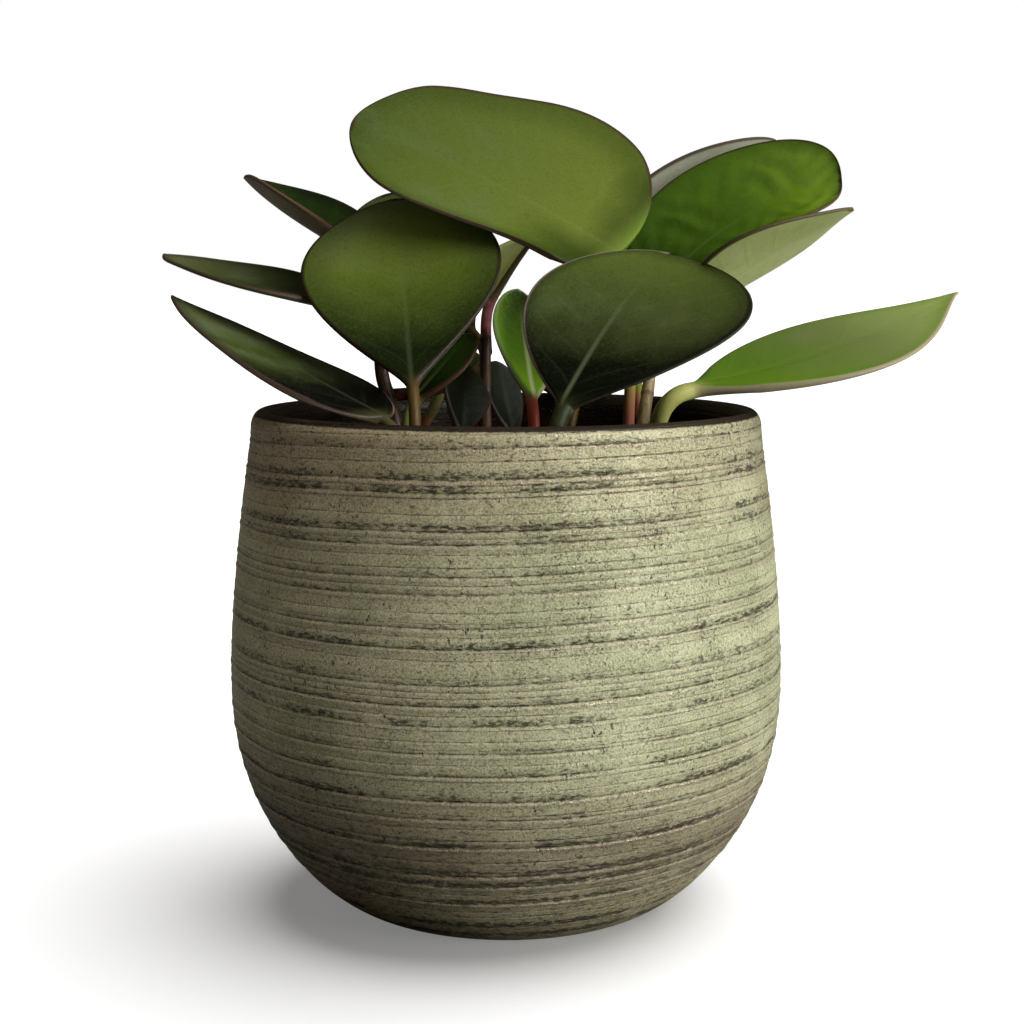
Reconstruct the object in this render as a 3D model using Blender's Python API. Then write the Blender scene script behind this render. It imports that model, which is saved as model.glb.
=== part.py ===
"""Potted peperomia: broad fleshy leaves on short stems, in a grow pot inside a glazed cover pot.

Metres, +Z up.  The origin is the centre of the cover pot's flat foot, on the surface it stands on.
Places in the tables of stems and leaves are in millimetres and their angles in degrees.
"""

import math
from dataclasses import dataclass

import bmesh
import bpy
from mathutils import Vector

MM = 0.001
GAP = 0.3 * MM  # left between pieces that touch

# Cover pot: a turned shape, widest at its belly
POT_HEIGHT = 142 * MM
BELLY_RADIUS = 80 * MM
BELLY_HEIGHT = 68 * MM
FOOT_RADIUS = 46 * MM
SHOULDER_HEIGHT = 62 * MM  # from the belly up to the lip
SHOULDER_DROP = 6 * MM  # how much the wall draws in over that height
POT_WALL = 5.5 * MM
POT_FLOOR = 7 * MM
LIP_HALF_WIDTH = 3.2 * MM
LIP_ROUNDING = 5 * MM
POT_SEGMENTS = 56

# Grow pot: a thin tapered pot that stands on the cover pot's floor
GROW_POT_HEIGHT = 105 * MM
GROW_POT_BASE_RADIUS = 43 * MM
GROW_POT_TOP_RADIUS = 57 * MM
GROW_POT_WALL = 1.5 * MM
GROW_POT_LIP = 3 * MM
GROW_POT_LIP_DROP = 8 * MM  # the lip's band hangs this far down outside the wall
GROW_POT_SEGMENTS = 40
DRAIN_HOLES = 6
DRAIN_HOLE_RADIUS = 4 * MM
DRAIN_CIRCLE_RADIUS = 28 * MM

# Soil: fills the grow pot to just under its lip
SOIL_TOP = 104 * MM
SOIL_MOUND = 2.5 * MM
SOIL_LUMPS = 0.8 * MM
SOCKET_TOP = 112 * MM  # stem sockets are cut up to here, clear of the soil

# Blades and stalks
BLADE_HALF_THICKNESS = 0.8 * MM
CLIMB_BEND = 10 * MM  # how soon a climbing stalk bends over into its blade
BLADE_STATIONS = 9
STALK_STATIONS = 5
LOOP_POINTS = 8
STEM_SIDES = 10


@dataclass(frozen=True)
class Stem:
    """A stem through a few points, tapering from its foot in the soil to its bud."""

    points: tuple
    foot_radius: float
    top_radius: float
    colour: tuple


@dataclass(frozen=True)
class Leaf:
    """A blade with its stalk.

    The blade starts at `base`, points along `heading` (0 is +X, 90 is +Y) and `rise`, and swings by
    `turn` and `arch` over its length.  `roll` and `twist` turn it about its own midrib, `cup` is the
    angle its cross-section bends through, and `wedge` and `blunt` shape its foot and its tip.  A
    stalk that climbs beside its stem leans towards `climb` on its way up.
    """

    stem: str
    seat: float
    base: tuple
    heading: float
    rise: float
    turn: float
    arch: float
    roll: float
    twist: float
    cup: float
    length: float
    width: float
    wedge: float
    blunt: float
    skew: float = 0.0
    stalk: float = 1.6
    climb: tuple | None = None
    colour: tuple = (0.10, 0.19, 0.04)


BROWN = (0.05, 0.03, 0.02)
TAN = (0.24, 0.19, 0.08)
LEAF_DARK = (0.06, 0.11, 0.02)
LEAF_PALE = (0.22, 0.30, 0.09)

STEMS = {
    "stem_left": Stem(
        ((-22, -10, 79), (-26, -12, 104), (-31, -12, 138), (-35, -9, 152), (-35, -7, 164), (-34, -5, 174)),
        2.4, 1.8, BROWN,
    ),
    "stem_centre": Stem(
        ((-4, 2, 79), (-5, 1, 104), (-6, 0, 137), (-6, 0, 150), (-6, 1, 162)),
        2.1, 1.6, BROWN,
    ),
    "stem_right": Stem(
        ((33, 2, 79), (36, 3, 104), (40, 6, 137), (42, 10, 150), (42, 13, 161)),
        2.3, 1.7, TAN,
    ),
    "stem_front": Stem(
        ((13, -16, 79), (14, -17, 104), (14, -18, 112), (14, -19, 121)),
        2.3, 2.0, BROWN,
    ),
    "stem_back": Stem(
        ((12, 28, 79), (14, 32, 104), (16, 35, 130), (18, 38, 165)),
        2.2, 1.8, BROWN,
    ),
}

LEAVES = {
    "leaf_crown": Leaf(
        "stem_right", 112, (32, 2, 185), 160, 33, 26, -14, -36, 0, 23, 87, 72, 0.4, 0.55, skew=-0.31,
        climb=(33, -8, 145)
    ),
    "leaf_front_left": Leaf(
        "stem_left", 112, (-25, -33, 149), 99, 48, 0, 0, -10, 0, 13, 71, 57, 1.2, 0.74, colour=LEAF_DARK
    ),
    "leaf_front_right": Leaf(
        "stem_front", 113, (15, -49, 145), 52, 52, 0, -26, 8, 5, 22, 65, 65, 0.97, 0.75, skew=-0.17,
        stalk=2.3, colour=LEAF_DARK
    ),
    "leaf_upper_right": Leaf(
        "stem_right", 159, (45, 20, 173), 19, 55, -34, -48, 20, 9, 35, 66, 65, 0.52, 0.4, skew=0.15
    ),
    "leaf_middle_right": Leaf(
        "stem_right", 154, (55, 7, 171), -43, 34, 18, -10, 0, 0, 20, 55, 50, 0.86, 0.7, colour=LEAF_PALE
    ),
    "leaf_low_right": Leaf(
        "stem_right", 122, (50, -23, 148), 24, 9, 0, 15, 8, 0, 5, 95, 54, 1.14, 1.25, stalk=2.4
    ),
    "leaf_low_left": Leaf(
        "stem_left", 124, (-33, -36, 141), 146, 23, 0, 0, 0, 14, 0, 84, 47, 0.6, 0.88
    ),
    "leaf_middle_left": Leaf(
        "stem_left", 158, (-42, 0, 170), 165, 10, -18, 7, -4, 2, 33, 69, 42, 0.86, 0.96
    ),
    "leaf_upper_left": Leaf(
        "stem_left", 169, (-37, 16, 183), 153, 22, 0, 14, 5, 0, 78, 55, 47, 0.87, 0.9
    ),
    "leaf_inner_left": Leaf(
        "stem_left", 146, (-10, 38, 162), 145, 42, -8, 16, -30, 0, 24, 57, 45, 1.1, 0.6, colour=LEAF_DARK
    ),
    "leaf_inner_centre": Leaf(
        "stem_centre", 158, (-5, 12, 171), 70, 41, 0, -24, -35, 7, 49, 46, 34, 1.05, 0.5, colour=LEAF_PALE
    ),
    "leaf_young_bright": Leaf(
        "stem_front", 117, (7, -32, 146), 97, 45, 0, 0, 21, 0, 25, 42, 20, 0.94, 0.73
    ),
    "leaf_young_left": Leaf(
        "stem_left", 128, (-25, -23, 145), 40, 46, 0, -9, 8, 0, 29, 28, 19, 0.88, 0.74, colour=LEAF_DARK
    ),
    "leaf_young_dark": Leaf(
        "stem_centre", 118, (-13, -18, 135), 79, 64, 0, -15, 58, 0, 15, 23, 19, 1.0, 0.5, colour=LEAF_DARK
    ),
    "leaf_young_centre": Leaf(
        "stem_centre", 116, (2, 9, 132), 119, 64, 0, 0, 17, 0, 25, 25, 15, 0.85, 0.55, colour=LEAF_DARK
    ),
    "leaf_back_low_left": Leaf(
        "stem_left", 132, (-20, 20, 147), 98, 6, 0, 12, 0, 0, 20, 56, 34, 1.0, 0.65, colour=LEAF_DARK
    ),
    "leaf_back_right": Leaf(
        "stem_right", 138, (40, 32, 160), 78, 8, 0, 12, 0, 0, 20, 58, 40, 1.0, 0.65
    ),
    "leaf_back_low": Leaf(
        "stem_back", 126, (22, 50, 140), 84, 10, 0, 14, 0, 0, 25, 58, 40, 1.0, 0.65, colour=LEAF_DARK
    ),
    "leaf_upper_back_right": Leaf(
        "stem_back", 158, (32, 70, 182), -6, 37, 0, 0, -44, 0, 25, 68, 38, 0.5, 0.75, colour=LEAF_PALE
    ),
}


def outer_radius(height):
    """The cover pot's outer radius below its lip."""
    if height < BELLY_HEIGHT:
        down = (BELLY_HEIGHT - height) / BELLY_HEIGHT
        return FOOT_RADIUS + (BELLY_RADIUS - FOOT_RADIUS) * (1 - down**2.4) ** 0.8
    up = (height - BELLY_HEIGHT) / SHOULDER_HEIGHT
    return BELLY_RADIUS - SHOULDER_DROP * up**1.5


def pot_profile():
    """Radius and height of the cover pot's section, from the middle of its foot round to its floor."""
    lip_base = POT_HEIGHT - LIP_ROUNDING
    lip_middle = outer_radius(lip_base) - LIP_HALF_WIDTH
    heights = [0, 3, 8, 14, 22, 32, 44, 56, 68, 82, 98, 114, 128]
    profile = [(0.0, 0.0)]
    profile += [(outer_radius(height * MM), height * MM) for height in heights]
    for step in range(9):
        angle = math.pi * step / 8
        radius = lip_middle + LIP_HALF_WIDTH * math.cos(angle)
        profile.append((radius, lip_base + LIP_ROUNDING * math.sin(angle)))
    for height in (124, 106, 88, 68, 50, 36, 24, 16, 11):
        profile.append((outer_radius(height * MM) - POT_WALL, height * MM))
    profile.append((outer_radius(8 * MM) - POT_WALL - 4 * MM, POT_FLOOR + 0.8 * MM))
    profile.append((FOOT_RADIUS, POT_FLOOR))
    profile.append((0.0, POT_FLOOR))
    return profile


def grow_pot_profile():
    """Radius and height of the grow pot's section, from the middle of its base round to its floor."""
    bottom = POT_FLOOR + GAP
    top = bottom + GROW_POT_HEIGHT
    band = top - GROW_POT_LIP_DROP
    return [
        (0.0, bottom),
        (GROW_POT_BASE_RADIUS, bottom),
        (GROW_POT_TOP_RADIUS, band),
        (GROW_POT_TOP_RADIUS + GROW_POT_LIP, band),
        (GROW_POT_TOP_RADIUS + GROW_POT_LIP, top),
        (GROW_POT_TOP_RADIUS - GROW_POT_WALL, top),
        (grow_pot_inner_radius(band), band),
        (grow_pot_inner_radius(bottom + GROW_POT_WALL), bottom + GROW_POT_WALL),
        (0.0, bottom + GROW_POT_WALL),
    ]


def grow_pot_inner_radius(height):
    """The grow pot's inner radius at a height, on its tapered wall."""
    along = (height - POT_FLOOR - GAP) / (GROW_POT_HEIGHT - GROW_POT_LIP_DROP)
    outer = GROW_POT_BASE_RADIUS + (GROW_POT_TOP_RADIUS - GROW_POT_BASE_RADIUS) * along
    return outer - GROW_POT_WALL


def smooth_path(points, steps):
    """A Catmull-Rom curve through the points, with `steps` points on each stretch."""
    ends = [2 * points[0] - points[1], *points, 2 * points[-1] - points[-2]]
    path = []
    for index in range(len(points) - 1):
        before, start, end, after = ends[index : index + 4]
        for step in range(steps):
            t = step / steps
            path.append(
                0.5
                * (
                    2 * start
                    + (end - before) * t
                    + (2 * before - 5 * start + 4 * end - after) * t**2
                    + (3 * start - before - 3 * end + after) * t**3
                )
            )
    return path + [points[-1]]


def make_object(name, bm, colour, roughness=0.5):
    """Turns a bmesh into a named object, shaded smooth, with its own material."""
    mesh = bpy.data.meshes.new(name)
    bm.to_mesh(mesh)
    bm.free()
    mesh.shade_smooth()
    mesh.set_sharp_from_angle(angle=math.radians(40))
    material = bpy.data.materials.new(name)
    material.use_nodes = True
    shader = material.node_tree.nodes["Principled BSDF"]
    shader.inputs["Base Color"].default_value = (*colour, 1.0)
    shader.inputs["Roughness"].default_value = roughness
    mesh.materials.append(material)
    piece = bpy.data.objects.new(name, mesh)
    bpy.context.scene.collection.objects.link(piece)
    return piece


def turned(profile, segments):
    """A bmesh of the profile spun once round the Z axis."""
    bm = bmesh.new()
    points = [bm.verts.new((radius, 0.0, height)) for radius, height in profile]
    edges = [bm.edges.new(pair) for pair in zip(points, points[1:])]
    bmesh.ops.spin(
        bm, geom=points + edges, cent=(0, 0, 0), axis=(0, 0, 1), angle=2 * math.pi,
        steps=segments, use_merge=True,
    )
    bmesh.ops.remove_doubles(bm, verts=bm.verts, dist=0.001 * MM)
    bmesh.ops.recalc_face_normals(bm, faces=bm.faces)
    return bm


def loft(rings):
    """A bmesh with a skin over rings of points and a cap on each end."""
    bm = bmesh.new()
    loops = [[bm.verts.new(point) for point in ring] for ring in rings]
    count = len(loops[0])
    for low, high in zip(loops, loops[1:]):
        for side in range(count):
            after = (side + 1) % count
            bm.faces.new((low[side], low[after], high[after], high[side]))
    bm.faces.new(reversed(loops[0]))
    bm.faces.new(loops[-1])
    return bm


def tube(path, radii, sides):
    """A bmesh of a round tube along a path, with a radius for each of its points."""
    rings = []
    across = Vector((1, 0, 0))
    for index, centre in enumerate(path):
        along = path[min(index + 1, len(path) - 1)] - path[max(index - 1, 0)]
        along.normalize()
        across = (across - along * across.dot(along)).normalized()
        other = along.cross(across)
        angles = [2 * math.pi * side / sides for side in range(sides)]
        rings.append(
            [centre + radii[index] * (across * math.cos(a) + other * math.sin(a)) for a in angles]
        )
    return loft(rings)


def stem_path(stem):
    """The points along a stem and its radius at each of them, up to the foot of its bud."""
    path = smooth_path([Vector(point) * MM for point in stem.points], 3)
    last = len(path) - 1
    radii = [
        (stem.foot_radius + (stem.top_radius - stem.foot_radius) * index / last) * MM
        for index in range(last + 1)
    ]
    return path, radii


def add_stem(name, stem):
    """A stem with the blunt bud that ends it."""
    path, radii = stem_path(stem)
    tip = (path[-1] - path[-2]).normalized()
    for length, share in ((1.5, 0.95), (3.0, 0.7), (4.2, 0.3)):
        path.append(path[len(radii) - 1] + tip * length * MM * 0.6)
        radii.append(radii[-1] * share)
    return make_object(name, tube(path, radii, STEM_SIDES), stem.colour)


def stem_at(stem, height):
    """The middle of a stem and its radius at a height."""
    path, radii = stem_path(stem)
    for index in range(len(path) - 1):
        low, high = path[index], path[index + 1]
        if low.z <= height <= high.z:
            share = (height - low.z) / (high.z - low.z)
            return low.lerp(high, share), max(radii[index], radii[index + 1])
    return path[-1], radii[-1]


def directions(leaf, along):
    """The blade's own axes at a share of its length: along the midrib, to its side, and up."""
    heading = math.radians(leaf.heading + leaf.turn * along)
    rise = math.radians(leaf.rise + leaf.arch * along)
    roll = math.radians(leaf.roll + leaf.twist * along)
    forward = Vector(
        (math.cos(rise) * math.cos(heading), math.cos(rise) * math.sin(heading), math.sin(rise))
    )
    level = Vector((-math.sin(heading), math.cos(heading), 0))
    up = forward.cross(level)
    side = level * math.cos(roll) + up * math.sin(roll)
    return forward, side, up * math.cos(roll) - level * math.sin(roll)


def blade_half_width(leaf, along):
    """Half the blade's width at a share of its length: a wedge at its foot and a blunt tip."""
    widest = leaf.wedge / (leaf.wedge + leaf.blunt)
    most = widest**leaf.wedge * (1 - widest) ** leaf.blunt
    return leaf.width * MM / 2 * along**leaf.wedge * (1 - along) ** leaf.blunt / most


def section(leaf, centre, side, up, half_width, half_thickness):
    """One loop round the leaf: an ellipse bent along the arc of the blade's cup."""
    bend = math.radians(leaf.cup) / 2 + 1e-6
    points = []
    for index in range(LOOP_POINTS):
        angle = 2 * math.pi * index / LOOP_POINTS
        across = math.cos(angle)
        lean = 1 + leaf.skew * across
        around = across * bend
        radius = half_width / bend
        outward = up * math.cos(around) - side * math.sin(around)
        points.append(
            centre
            + side * radius * math.sin(around) * lean
            + up * radius * (1 - math.cos(around)) * lean
            + outward * half_thickness * math.sin(angle)
        )
    return points


def blade_rings(leaf):
    """The loops of the blade, from where it leaves its stalk to its tip."""
    stalk = leaf.stalk * MM
    fine = 60
    midrib = [Vector(leaf.base) * MM]
    for step in range(fine):
        forward = directions(leaf, (step + 0.5) / fine)[0]
        midrib.append(midrib[-1] + forward * leaf.length * MM / fine)
    rings = []
    for station in range(BLADE_STATIONS):
        along = 0.5 - 0.5 * math.cos(math.pi * (0.12 + 0.87 * station / (BLADE_STATIONS - 1)))
        _, side, up = directions(leaf, along)
        half_width = math.hypot(blade_half_width(leaf, along), stalk * (1 - along) ** 2)
        fade = (1 - along) ** 3
        half_thickness = BLADE_HALF_THICKNESS * (1 - 0.4 * along) + (stalk - BLADE_HALF_THICKNESS) * fade
        place = along * fine
        low = min(int(place), fine - 1)
        centre = midrib[low].lerp(midrib[low + 1], place - low)
        rings.append(section(leaf, centre, side, up, half_width, half_thickness))
    return rings


def stalk_rings(leaf):
    """The round loops of the stalk, from just off the stem to the foot of the blade."""
    stalk = leaf.stalk * MM
    base = Vector(leaf.base) * MM
    forward, side, _ = directions(leaf, 0.0)
    middle, stem_radius = stem_at(STEMS[leaf.stem], leaf.seat * MM)
    if leaf.climb is None:
        outward = Vector((base.x - middle.x, base.y - middle.y, 0)).normalized()
        root = middle + outward * (stem_radius + GAP)
        reach = (base - root).length * 0.4
        handles = (root, root + outward * reach, base - forward * reach, base)
    else:
        climb = Vector(leaf.climb) * MM
        outward = Vector((climb.x - middle.x, climb.y - middle.y, 0)).normalized()
        root = middle + outward * (stem_radius + GAP + stalk)
        handles = (root, climb, base - forward * CLIMB_BEND, base)
    rings = []
    for station in reversed(range(STALK_STATIONS)):
        t = station / STALK_STATIONS
        weights = ((1 - t) ** 3, 3 * t * (1 - t) ** 2, 3 * t**2 * (1 - t), t**3)
        slopes = (-((1 - t) ** 2), (1 - t) * (1 - 3 * t), t * (2 - 3 * t), t**2)
        centre = sum((h * w for h, w in zip(handles, weights)), Vector())
        along = sum((h * s for h, s in zip(handles, slopes)), Vector()).normalized()
        side = (side - along * side.dot(along)).normalized()
        up = along.cross(side)
        ring = []
        for index in range(LOOP_POINTS):
            angle = 2 * math.pi * index / LOOP_POINTS
            ring.append(centre + stalk * (side * math.cos(angle) + up * math.sin(angle)))
        rings.insert(0, ring)
    return rings


def add_leaf(name, leaf):
    """A leaf, blade and stalk in one body."""
    return make_object(name, loft(stalk_rings(leaf) + blade_rings(leaf)), leaf.colour)


def add_pot():
    return make_object("pot", turned(pot_profile(), POT_SEGMENTS), (0.30, 0.31, 0.22), 0.45)


def add_cutter(name, bm, piece):
    """Cuts a closed shape out of a piece, with a Boolean that stays on it."""
    cutter = make_object(name, bm, (0.5, 0.5, 0.5))
    cutter.hide_render = True
    cutter.display_type = "WIRE"
    cut = piece.modifiers.new(name, "BOOLEAN")
    cut.operation = "DIFFERENCE"
    cut.object = cutter


def add_grow_pot():
    """The grow pot, with a ring of drain holes through its base."""
    piece = make_object("grow_pot", turned(grow_pot_profile(), GROW_POT_SEGMENTS), (0.03, 0.03, 0.03))
    bottom = POT_FLOOR + GAP
    holes = bmesh.new()
    for hole in range(DRAIN_HOLES):
        angle = 2 * math.pi * hole / DRAIN_HOLES
        made = bmesh.ops.create_cone(
            holes, cap_ends=True, segments=10, radius1=DRAIN_HOLE_RADIUS,
            radius2=DRAIN_HOLE_RADIUS, depth=4 * GROW_POT_WALL,
        )
        place = Vector((math.cos(angle), math.sin(angle), 0)) * DRAIN_CIRCLE_RADIUS
        place.z = bottom + GROW_POT_WALL / 2
        bmesh.ops.translate(holes, verts=made["verts"], vec=place)
    add_cutter("drain_hole_cutter", holes, piece)
    return piece


def add_soil():
    """The potting mix: it fills the grow pot, is a little lumpy on top, and has a socket round each stem."""
    low = POT_FLOOR + GAP + GROW_POT_WALL + GAP
    rim = grow_pot_inner_radius(SOIL_TOP - SOIL_MOUND) - GAP
    profile = [(0.0, low), (grow_pot_inner_radius(low) - GAP, low), (rim, SOIL_TOP - SOIL_MOUND)]
    profile += [(rim * share, SOIL_TOP) for share in (0.85, 0.62, 0.38, 0.16, 0.0)]
    bm = turned(profile, GROW_POT_SEGMENTS)
    for vert in bm.verts:
        if vert.co.z > SOIL_TOP - SOIL_MOUND / 2:
            x, y = vert.co.x / MM, vert.co.y / MM
            vert.co.z += SOIL_LUMPS * (math.sin(x * 0.31 + 1.3) * math.cos(y * 0.27) + 0.6 * math.sin(x * 0.13 * y))
    piece = make_object("soil", bm, (0.035, 0.022, 0.014), 0.9)
    for name, stem in STEMS.items():
        path, radii = stem_path(stem)
        buried = [index for index, point in enumerate(path) if point.z < SOCKET_TOP]
        reach = path[: buried[-1] + 2]
        reach[0] = reach[0] - (reach[1] - reach[0]).normalized() * GAP
        add_cutter(f"{name}_socket_cutter", tube(reach, [r + GAP for r in radii], STEM_SIDES), piece)
    return piece


def main():
    for leftover in list(bpy.data.objects):
        bpy.data.objects.remove(leftover)
    add_pot()
    add_grow_pot()
    add_soil()
    for name, stem in STEMS.items():
        add_stem(name, stem)
    for name, leaf in LEAVES.items():
        add_leaf(name, leaf)


main()
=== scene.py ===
"""The looks of a potted peperomia: ribbed cover pot, grow pot, soil, stems and fleshy leaves."""

import logging
import math
from collections.abc import Callable
from dataclasses import dataclass, field
from enum import Enum
from functools import cache

import bpy
import numpy as np
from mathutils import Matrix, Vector


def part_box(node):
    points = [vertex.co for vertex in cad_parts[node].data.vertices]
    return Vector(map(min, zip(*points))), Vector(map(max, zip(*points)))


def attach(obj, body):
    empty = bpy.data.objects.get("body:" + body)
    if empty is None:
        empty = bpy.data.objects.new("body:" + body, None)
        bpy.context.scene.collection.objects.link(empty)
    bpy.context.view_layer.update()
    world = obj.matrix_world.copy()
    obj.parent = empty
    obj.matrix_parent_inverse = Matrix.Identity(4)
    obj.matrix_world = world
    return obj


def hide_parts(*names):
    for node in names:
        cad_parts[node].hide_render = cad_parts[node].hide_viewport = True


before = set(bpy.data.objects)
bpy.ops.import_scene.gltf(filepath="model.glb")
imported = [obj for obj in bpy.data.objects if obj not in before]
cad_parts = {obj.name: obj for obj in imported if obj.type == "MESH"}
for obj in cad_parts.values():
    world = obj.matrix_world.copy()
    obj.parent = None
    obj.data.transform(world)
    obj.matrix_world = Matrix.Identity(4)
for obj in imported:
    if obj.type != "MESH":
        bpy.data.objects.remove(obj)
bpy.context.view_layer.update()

LOG = logging.getLogger("potted_peperomia")
MM = 0.001
TO_MM = (1000.0,) * 3
BODY = "root"

Colour = tuple[int, int, int]
Triple = tuple[float, float, float]
Array = np.ndarray
Object = bpy.types.Object
Material = bpy.types.Material


# ---------------------------------------------------------------- node trees


def shader_colour(colour: Colour) -> tuple[float, float, float, float]:
    """A colour given by its screen values, 0 to 255, as a shader counts it."""
    shares = (value / 255 for value in colour)
    return (*(c / 12.92 if c <= 0.04045 else ((c + 0.055) / 1.055) ** 2.4 for c in shares), 1.0)


def operator(operation: str, reflected: bool = False) -> Callable[..., "Value"]:
    """Makes a method of Value that adds one Math node.

    Args:
        operation: The Math node's operation.
        reflected: Whether the other value goes first.

    Returns:
        The method.
    """

    def work(self: "Value", *others: "Value | float") -> "Value":
        """Adds the Math node."""
        values = (*others, self) if reflected else (self, *others)
        return self.graph.add("ShaderNodeMath", {"operation": operation}, dict(enumerate(values)))

    return work


class Value:
    """A socket of a node tree that Python's operators work on."""

    __add__ = __radd__ = operator("ADD")
    __sub__ = operator("SUBTRACT")
    __rsub__ = operator("SUBTRACT", reflected=True)
    __mul__ = __rmul__ = operator("MULTIPLY")
    __truediv__ = operator("DIVIDE")
    __abs__ = operator("ABSOLUTE")
    floor = operator("FLOOR")
    part = operator("FRACT")
    most = operator("MAXIMUM")
    least = operator("MINIMUM")
    passes = operator("GREATER_THAN")

    def __init__(self, graph: "Graph", socket: bpy.types.NodeSocket) -> None:
        """Wraps one output socket of a graph."""
        self.graph = graph
        self.socket = socket

    def step(self, start: float, end: float) -> "Value":
        """A smooth step, which falls where end is below start.

        Args:
            start: Where it is 0.
            end: Where it is 1.

        Returns:
            The step.
        """
        kind = {"interpolation_type": "SMOOTHSTEP"}
        low, high = min(start, end), max(start, end)
        risen = self.graph.add("ShaderNodeMapRange", kind, {0: self, 1: low, 2: high, 3: 0.0, 4: 1.0})
        return risen if end > start else 1 - risen

    def bell(self, middle: float, width: float) -> "Value":
        """1 at the middle, falling smoothly to 0 a width away on both sides."""
        return abs(self - middle).step(width, 0.0)

    def output(self, name: str) -> "Value":
        """Another output of the node this value comes from."""
        return Value(self.graph, self.socket.node.outputs[name])


class Graph:
    """Adds nodes to one shader or geometry tree."""

    def __init__(self, tree: bpy.types.NodeTree) -> None:
        """Takes the tree that the nodes go into."""
        self.tree = tree

    def add(
        self, kind: str, settings: dict | None = None, sockets: dict | None = None, output: int | str = 0
    ) -> Value:
        """Adds a node.

        Args:
            kind: The node's type.
            settings: Its properties, set first; "stops" fills a colour ramp.
            sockets: Numbers, colours or values for its inputs, by name or place.
            output: The output that is returned.

        Returns:
            The chosen output.
        """
        node = self.tree.nodes.new(kind)
        for name, setting in (settings or {}).items():
            if name == "stops":
                self.fill_ramp(node.color_ramp, setting)
            else:
                setattr(node, name, setting)
        for key, value in (sockets or {}).items():
            if isinstance(value, Value):
                self.tree.links.new(value.socket, node.inputs[key])
            else:
                node.inputs[key].default_value = value
        return Value(self, node.outputs[output] if len(node.outputs) else None)

    @staticmethod
    def fill_ramp(ramp: bpy.types.ColorRamp, stops: list[tuple[float, Colour]]) -> None:
        """Gives a colour ramp its stops.

        Args:
            ramp: The colour ramp.
            stops: Places from 0 to 1 and their colours.
        """
        while len(ramp.elements) < len(stops):
            ramp.elements.new(1.0)
        for element, (place, colour) in zip(ramp.elements, stops):
            element.position = place
            element.color = shader_colour(colour)

    def ramp(self, share: Value, stops: list[tuple[float, Colour]]) -> Value:
        """A colour from a ramp's stops."""
        return self.add("ShaderNodeValToRGB", {"stops": stops}, {0: share})

    def coats(self, colour: "Value | Colour", *layers: "tuple[Value, Value | Colour]") -> Value:
        """Lays colours over one another.

        Args:
            colour: The lowest colour.
            layers: How much of each further colour shows, and the colour, from the lowest up.

        Returns:
            The colour that shows.
        """
        settings = {"data_type": "RGBA", "blend_type": "MIX", "clamp_factor": True}
        for share, over in layers:
            low, high = (c if isinstance(c, Value) else shader_colour(c) for c in (colour, over))
            colour = self.add("ShaderNodeMix", settings, {0: share, 6: low, 7: high}, 2)
        return colour

    def scaled(self, place: Value, scale: Triple) -> Value:
        """A vector times a scale for each axis."""
        return self.add("ShaderNodeVectorMath", {"operation": "MULTIPLY"}, {0: place, 1: scale})

    def noise(
        self, place: Value, scale: float, detail: float = 2.0, rough: float = 0.5, seed: "Value | float" = 0.0
    ) -> Value:
        """Soft noise around 0.5, with `scale` waves for each unit of place; `seed` picks another pattern."""
        sockets = {"Vector": place, "W": seed, "Scale": scale, "Detail": detail, "Roughness": rough}
        return self.add("ShaderNodeTexNoise", {"noise_dimensions": "4D"}, sockets)

    def chance(self, number: Value, seed: float = 0.0) -> Value:
        """A random share for each whole number."""
        return self.add("ShaderNodeTexWhiteNoise", {"noise_dimensions": "1D"}, {"W": number + seed})

    def split(self, place: Value) -> tuple[Value, Value, Value]:
        """The X, Y and Z of a vector."""
        first = self.add("ShaderNodeSeparateXYZ", sockets={0: place})
        return first, first.output("Y"), first.output("Z")

    def show(self, thrown: Value, seen: Value, end: str) -> None:
        """Ends a tree with one shader for the light that it throws and one for what the camera sees.

        Args:
            thrown: The shader for all other light.
            seen: The shader that the camera sees.
            end: The kind of the output node.
        """
        camera = self.add("ShaderNodeLightPath", output="Is Camera Ray")
        both = self.add("ShaderNodeMixShader", sockets={0: camera, 1: thrown, 2: seen})
        self.add(end, sockets={"Surface": both})


class Skin(Graph):
    """A material being made, with its places in millimetres."""

    def __init__(self, name: str) -> None:
        """Starts an empty material.

        Args:
            name: The material's name.
        """
        self.material = bpy.data.materials.new(name)
        self.material.use_nodes = True
        super().__init__(self.material.node_tree)
        self.tree.nodes.clear()
        self.place = self.scaled(self.add("ShaderNodeTexCoord", output="Object"), TO_MM)

    def attribute(self, name: str) -> Value:
        """A number that the piece's mesh holds."""
        return self.add("ShaderNodeAttribute", {"attribute_name": name}, output="Fac")

    def finish(
        self, colour: Value, rough: "Value | float", height: Value, depth: float, **constants: "Value | float"
    ) -> Material:
        """Closes the material with its shader.

        Args:
            colour: The base colour.
            rough: The roughness.
            height: The height that bends the normal, 0 to 1.
            depth: What a height of 1 measures, in metres.
            constants: Other sockets of the shader, by name with _ for a space.

        Returns:
            The material.
        """
        normal = self.add("ShaderNodeBump", sockets={"Height": height, "Distance": depth, "Strength": 1.0})
        sockets = {"Base Color": colour, "Roughness": rough, "Normal": normal}
        sockets.update({name.replace("_", " "): value for name, value in constants.items()})
        shader = self.add("ShaderNodeBsdfPrincipled", sockets=sockets)
        self.add("ShaderNodeOutputMaterial", sockets={"Surface": shader})
        return self.material


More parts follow.
